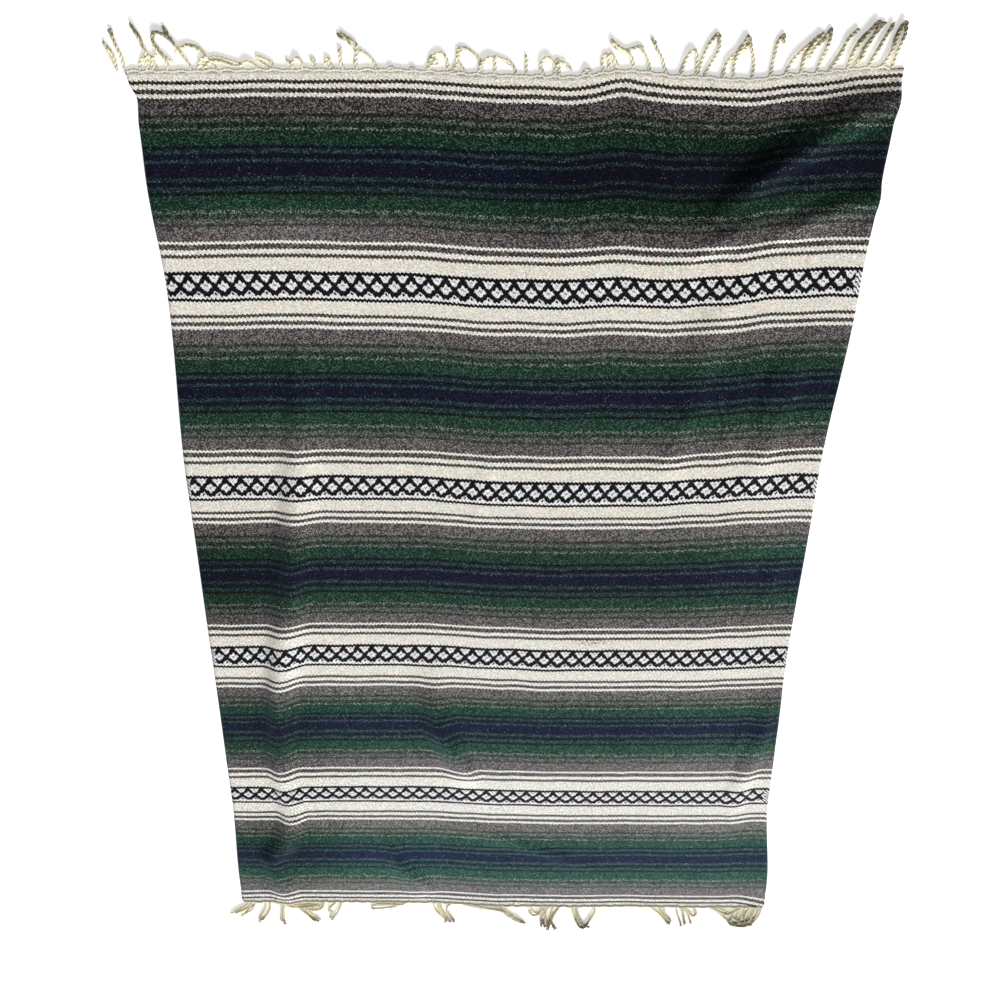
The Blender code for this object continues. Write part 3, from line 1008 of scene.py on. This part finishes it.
FOOT_CORDS = (
    # the left corner
    ((-645, 0), (-655, 12), (-687, 33)),
    ((-636, 0), (-650, 18), (-682, 36)),
    ((-628, 0), (-640, 22), (-668, 42)),
    ((-604, 0), (-606, 20), (-618, 45), (-626, 58)),
    ((-592, 0), (-594, 22), (-606, 44), (-618, 60)),
    ((-556, 0), (-560, 35), (-562, 64)),
    ((-561, 0), (-566, 30), (-571, 60)),
    # a heap of cords folded over on themselves
    ((-585, 0), (-553, 10), (-523, 18), (-482, 26), (-462, 18), (-455, 0)),
    ((-570, 0), (-540, 12), (-505, 14), (-470, 8)),
    ((-560, 0), (-522, 20), (-496, 22), (-470, 16), (-462, 6)),
    ((-540, 0), (-515, 8), (-490, 6), (-474, 18)),
    ((-530, 4), (-515, 22), (-500, 40), (-482, 62)),
    ((-520, 6), (-505, 22), (-492, 38), (-476, 58)),
    ((-411, 0), (-416, 14), (-424, 34), (-441, 56)),
    ((-425, 0), (-446, 22), (-438, 30), (-442, 50)),
    ((-266, 0), (-285, 8), (-310, 11), (-338, 12)),
    ((-258, 0), (-275, 12), (-305, 18), (-336, 22)),
    ((-250, 0), (-262, 6), (-290, 5), (-326, 5)),
    ((-182, 0), (-176, 26), (-158, 50), (-140, 64)),
    ((-164, 0), (-160, 22), (-146, 54)),
    ((-133, 0), (-145, 8), (-147, 28), (-131, 58)),
    ((-172, 0), (-166, 30), (-150, 58)),
    # flat cords left of the middle
    ((-104, 0), (-60, 9), (-20, 14), (6, 28)),
    ((-84, 0), (-40, 8), (-5, 16), (10, 34)),
    ((-50, 0), (-15, 6), (14, 26)),
    ((-22, 0), (-2, 22), (20, 42), (42, 54)),
    ((-8, 0), (14, 30), (38, 47)),
    # the spiky bunch right of the middle
    ((66, 0), (70, 18), (84, 20), (98, 10)),
    ((94, 0), (86, 22), (70, 28), (60, 18)),
    ((99, 0), (102, 28), (98, 50), (101, 66)),
    ((106, 0), (104, 34), (112, 71)),
    ((120, 0), (116, 36), (123, 70)),
    ((138, 0), (124, 24), (112, 60)),
    ((112, 0), (92, 34), (94, 60)),
    # a hanging loop
    ((168, 0), (176, 36), (190, 66), (202, 68), (217, 38), (227, 14), (223, 0)),
    ((180, 0), (186, 30), (200, 62)),
    ((174, 0), (180, 28), (194, 58), (206, 72)),
    ((366, 0), (388, 20), (418, 56)),
    ((386, 0), (402, 28), (412, 50)),
    ((400, 0), (406, 24), (421, 46)),
    ((432, 0), (436, 24), (448, 56)),
    ((442, 0), (452, 22), (456, 54)),
    ((446, 0), (462, 24), (472, 50)),
    ((452, 0), (474, 28), (484, 20), (480, 6)),
    # the right corner's bunch
    ((519, 0), (556, 20), (572, 18), (594, 2)),
    ((516, 0), (546, 26), (564, 44), (578, 60), (612, 64), (634, 46), (640, 16)),
    ((531, 0), (561, 14), (578, 34), (604, 50), (628, 38)),
    ((586, 0), (576, 22), (574, 44), (588, 58)),
    ((596, 0), (588, 26), (592, 56)),
    ((606, 0), (600, 24), (596, 44), (606, 60)),
    ((616, 0), (606, 30), (614, 58)),
    ((624, 0), (620, 24), (616, 52)),
    ((632, 0), (624, 30), (628, 54)),
    ((640, 0), (636, 22), (630, 44)),
    ((646, 0), (644, 26), (638, 40)),
)


def through(points, spacing=2.0 * MM):
    """A smooth line through points, as a Catmull-Rom spline."""
    points = np.array([2 * points[0] - points[1], *points, 2 * points[-1] - points[-2]])
    line = []
    for a, b, c, d in zip(points, points[1:], points[2:], points[3:]):
        count = max(2, round(float(np.linalg.norm(c - b)) / spacing))
        for k in range(count):
            t = k / count
            line.append(0.5 * (2 * b + (c - a) * t + (2 * a - 5 * b + 4 * c - d) * t ** 2
                               + (3 * b - a - 3 * c + d) * t ** 3))
    line.append(points[-2])
    return np.array(line)


def edge_place(x, end):
    """A point on the cloth's edge, at an end of 1 for the head and -1 for the foot."""
    x = np.array([x])
    y = np.full(1, end * CLOTH_LENGTH / 2)
    return np.array([x[0], (y + sag(x, y))[0], lift(x, y)[0]])


def cord_line(route, end, level):
    """The middle of one cord: from the cloth's edge down to the floor, and over what lies there."""
    points = []
    for x, reach in route:
        edge = edge_place(x * MM, end)
        settled = min(1.0, max(0.0, reach / SETTLED))
        height = CORD_RADIUS + edge[2] * (1.0 - settled) + level * settled
        points.append(np.array([edge[0], edge[1] + end * reach * MM, height]))
    return through(points)


def frayed_tip(line, longest, rng):
    """The loose fibres at the end of a cord, each a thin short line."""
    tip = line[-1]
    along = line[-1] - line[-3]
    along = along / np.linalg.norm(along)
    aside = np.array([-along[1], along[0], 0.0])
    for _ in range(4):
        spread = rng.uniform(-0.5, 0.5)
        length = rng.uniform(0.4, 1.0) * longest
        bend = rng.uniform(-0.3, 0.3)
        way = along + spread * aside
        middle = tip + 0.5 * length * way
        end = tip + length * (way + bend * aside)
        end[2] = max(end[2] - 0.6 * MM, 0.6 * MM)
        yield through([tip - 2.0 * MM * along, middle, end])


def cord_tree(material):
    """Geometry Nodes: along each line of the curve, two plies are twisted into a cord."""
    tree = bpy.data.node_groups.new("twisted_cord", "GeometryNodeTree")
    face = tree.interface
    face.new_socket("Geometry", in_out="INPUT", socket_type="NodeSocketGeometry")
    sizes = (("Ply Radius", PLY_RADIUS), ("Ply Offset", PLY_OFFSET), ("Turn Length", TURN_LENGTH),
             ("Step", CORD_STEP))
    for name, _ in sizes:
        face.new_socket(name, in_out="INPUT", socket_type="NodeSocketFloat")
    face.new_socket("Sides", in_out="INPUT", socket_type="NodeSocketInt")
    face.new_socket("Geometry", in_out="OUTPUT", socket_type="NodeSocketGeometry")
    given = add(tree, "NodeGroupInput").outputs
    route = add(tree, "GeometryNodeResampleCurve", {"Curve": given["Geometry"],
                                                    "Length": given["Step"]}, mode="LENGTH")
    along = add(tree, "GeometryNodeSplineParameter")
    turn = add(tree, MATH, (along.outputs["Length"], given["Turn Length"]), operation="DIVIDE")
    angle = add(tree, MATH, (turn, 2 * math.pi), operation="MULTIPLY")
    normal = add(tree, "GeometryNodeInputNormal")
    tangent = add(tree, "GeometryNodeInputTangent")
    sideways = add(tree, VECTOR, (tangent, normal), operation="CROSS_PRODUCT")
    thickness = add(tree, "GeometryNodeInputRadius")
    away = add(tree, MATH, (thickness, given["Ply Offset"]), operation="MULTIPLY")
    ring = add(tree, "GeometryNodeCurvePrimitiveCircle", {"Resolution": given["Sides"],
                                                          "Radius": given["Ply Radius"]})
    plies = []
    for start in (0.0, math.pi):
        at = add(tree, MATH, (angle, start), operation="ADD")
        cosine = add(tree, MATH, (at,), operation="COSINE")
        sine = add(tree, MATH, (at,), operation="SINE")
        first = add(tree, VECTOR, {0: normal, "Scale": cosine}, operation="SCALE")
        second = add(tree, VECTOR, {0: sideways, "Scale": sine}, operation="SCALE")
        out = add(tree, VECTOR, (first, second), operation="ADD")
        out = add(tree, VECTOR, {0: out, "Scale": away}, operation="SCALE")
        ply = add(tree, "GeometryNodeSetPosition", {"Geometry": route, "Offset": out})
        plies.append(add(tree, "GeometryNodeCurveToMesh", {"Curve": ply, "Profile Curve": ring,
                                                           "Fill Caps": True}))
    cord = add(tree, "GeometryNodeJoinGeometry", {"Geometry": plies})
    cord = add(tree, "GeometryNodeSetShadeSmooth", {"Geometry": cord})
    cord = add(tree, "GeometryNodeSetMaterial", {"Geometry": cord, "Material": material})
    cord = add(tree, "GeometryNodeRealizeInstances", {"Geometry": cord})
    add(tree, "NodeGroupOutput", (cord,))
    return tree, {**dict(sizes), "Sides": PLY_SIDES}


def cord_lines(routes, end, longest, rng):
    """The lines of the cords, each with its thickness along it. Beside each cord lies a stray yarn,
    and its tip is frayed."""
    lines = []
    for i, route in enumerate(routes):
        line = cord_line(route, end, level=(i % 3) * LAYER)
        thickness = rng.uniform(0.88, 1.12, len(line))
        thickness[:len(ROOT)] = ROOT
        thickness[-len(KNOT):] = KNOT
        lines.append((line, thickness))
        stray = [(x + rng.normal(0.0, STRAY), max(0.0, reach + rng.normal(0.0, STRAY)))
                 for x, reach in route]
        yarn = cord_line(stray, end, level=0.0)
        lines.append((yarn, np.linspace(*STRAY_THICKNESS, len(yarn))))
        if route[-1][1] > SETTLED:
            for fibre in frayed_tip(yarn, longest, rng):
                lines.append((fibre, np.linspace(*FIBRE_THICKNESS, len(fibre))))
    return lines


def scallop_lines(end, rng):
    """The scallops, where each group of warp ends turns back into the header."""
    at = np.array([end * CLOTH_LENGTH / 2])
    left = look_up(OUTLINE, 1, at)[0]
    right = look_up(OUTLINE, 2, at)[0]
    lines = []
    for x in np.arange(left + 4 * MM, right - SCALLOP, SCALLOP):
        bulge = rng.uniform(1.0, 3.5)
        route = [((x + share * SCALLOP) / MM, -1.5 + bulge * math.sin(math.pi * share))
                 for share in np.linspace(0.0, 1.0, 7)]
        line = cord_line(route, end, level=0.0)
        lines.append((line, np.full(len(line), SCALLOP_THICKNESS)))
    return lines


def guide_curve(name, lines):
    """The lines as one curve, none of them so low that its cord would sink into the floor."""
    curve = bpy.data.curves.new(name, "CURVE")
    curve.dimensions = "3D"
    for line, thickness in lines:
        line[:, 2] = np.maximum(line[:, 2], CORD_RADIUS * thickness)
        spline = curve.splines.new("POLY")
        spline.points.add(len(line) - 1)
        spline.points.foreach_set("co", np.column_stack([line, np.ones(len(line))]).ravel())
        spline.points.foreach_set("radius", thickness)
    guide = bpy.data.objects.new(name + "_lines", curve)
    bpy.context.scene.collection.objects.link(guide)
    return guide


def make_fringe(name, routes, end, longest, node, material, rng):
    """The cords, their frayed tips and the scalloped edge of one end, as one mesh."""
    lines = cord_lines(routes, end, longest, rng)
    lines += scallop_lines(end, rng)
    guide = guide_curve(name, lines)
    tree, values = cord_tree(material)
    twist = guide.modifiers.new("cords", "NODES")
    twist.node_group = tree
    for item in tree.interface.items_tree:
        if item.item_type == "SOCKET" and item.in_out == "INPUT" and item.name in values:
            twist[item.identifier] = values[item.name]
    bpy.context.view_layer.update()
    done = guide.evaluated_get(bpy.context.evaluated_depsgraph_get())
    mesh = bpy.data.meshes.new_from_object(done)
    mesh.name = name
    fringe = bpy.data.objects.new(name, mesh)
    bpy.context.scene.collection.objects.link(fringe)
    bpy.data.objects.remove(guide)
    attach(fringe, "root")
    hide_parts(node)
    return fringe


# ---------------------------------------------------------------- the stage

def make_stage():
    """The floor, a hair below the cloth."""
    bpy.ops.mesh.primitive_plane_add(size=14.0, location=(0.0, 0.0, -0.0004))
    floor = bpy.context.object
    floor.name = "floor"
    floor.data.materials.append(floor_finish())


def make_light():
    """A pale room, and the light of a window far beyond the foot of the cloth, a little to the
    right: a sun with a broad disc, so that its shadows are soft."""
    world = bpy.data.worlds.new("soft_room")
    world.use_nodes = True
    background = world.node_tree.nodes["Background"]
    background.inputs["Color"].default_value = (1.0, 1.0, 1.0, 1.0)
    background.inputs["Strength"].default_value = 0.38
    bpy.context.scene.world = world
    window = bpy.data.lights.new("far_window", "SUN")
    window.angle = math.radians(30.0)
    window.energy = 4.55
    lamp = bpy.data.objects.new("far_window", window)
    shines_along = Vector((-0.30, 1.0, -0.56))
    lamp.rotation_euler = shines_along.to_track_quat("-Z", "Y").to_euler()
    bpy.context.scene.collection.objects.link(lamp)


def make_camera():
    """A phone's wide lens, held over the head end and tipped 20 degrees towards the foot."""
    camera = bpy.data.cameras.new("camera")
    camera.sensor_width = 36.0
    camera.lens = 27.04
    obj = bpy.data.objects.new("camera", camera)
    obj.location = (-0.013, 0.690, 1.428)
    obj.rotation_euler = (math.radians(-20.25), 0.0, 0.0)
    bpy.context.scene.collection.objects.link(obj)
    bpy.context.scene.camera = obj


draws = np.random.default_rng(7)
panel = make_panel()
cord_finish = cotton_cord()
fringe_head = make_fringe("fringe_cords_head", HEAD_CORDS, 1, 3.0 * MM, "fringe_head",
                          cord_finish, draws)
fringe_foot = make_fringe("fringe_cords_foot", FOOT_CORDS, -1, 9.0 * MM, "fringe_foot",
                          cord_finish, draws)
make_stage()
make_light()
make_camera()
bpy.context.scene.view_settings.view_transform = "Standard"
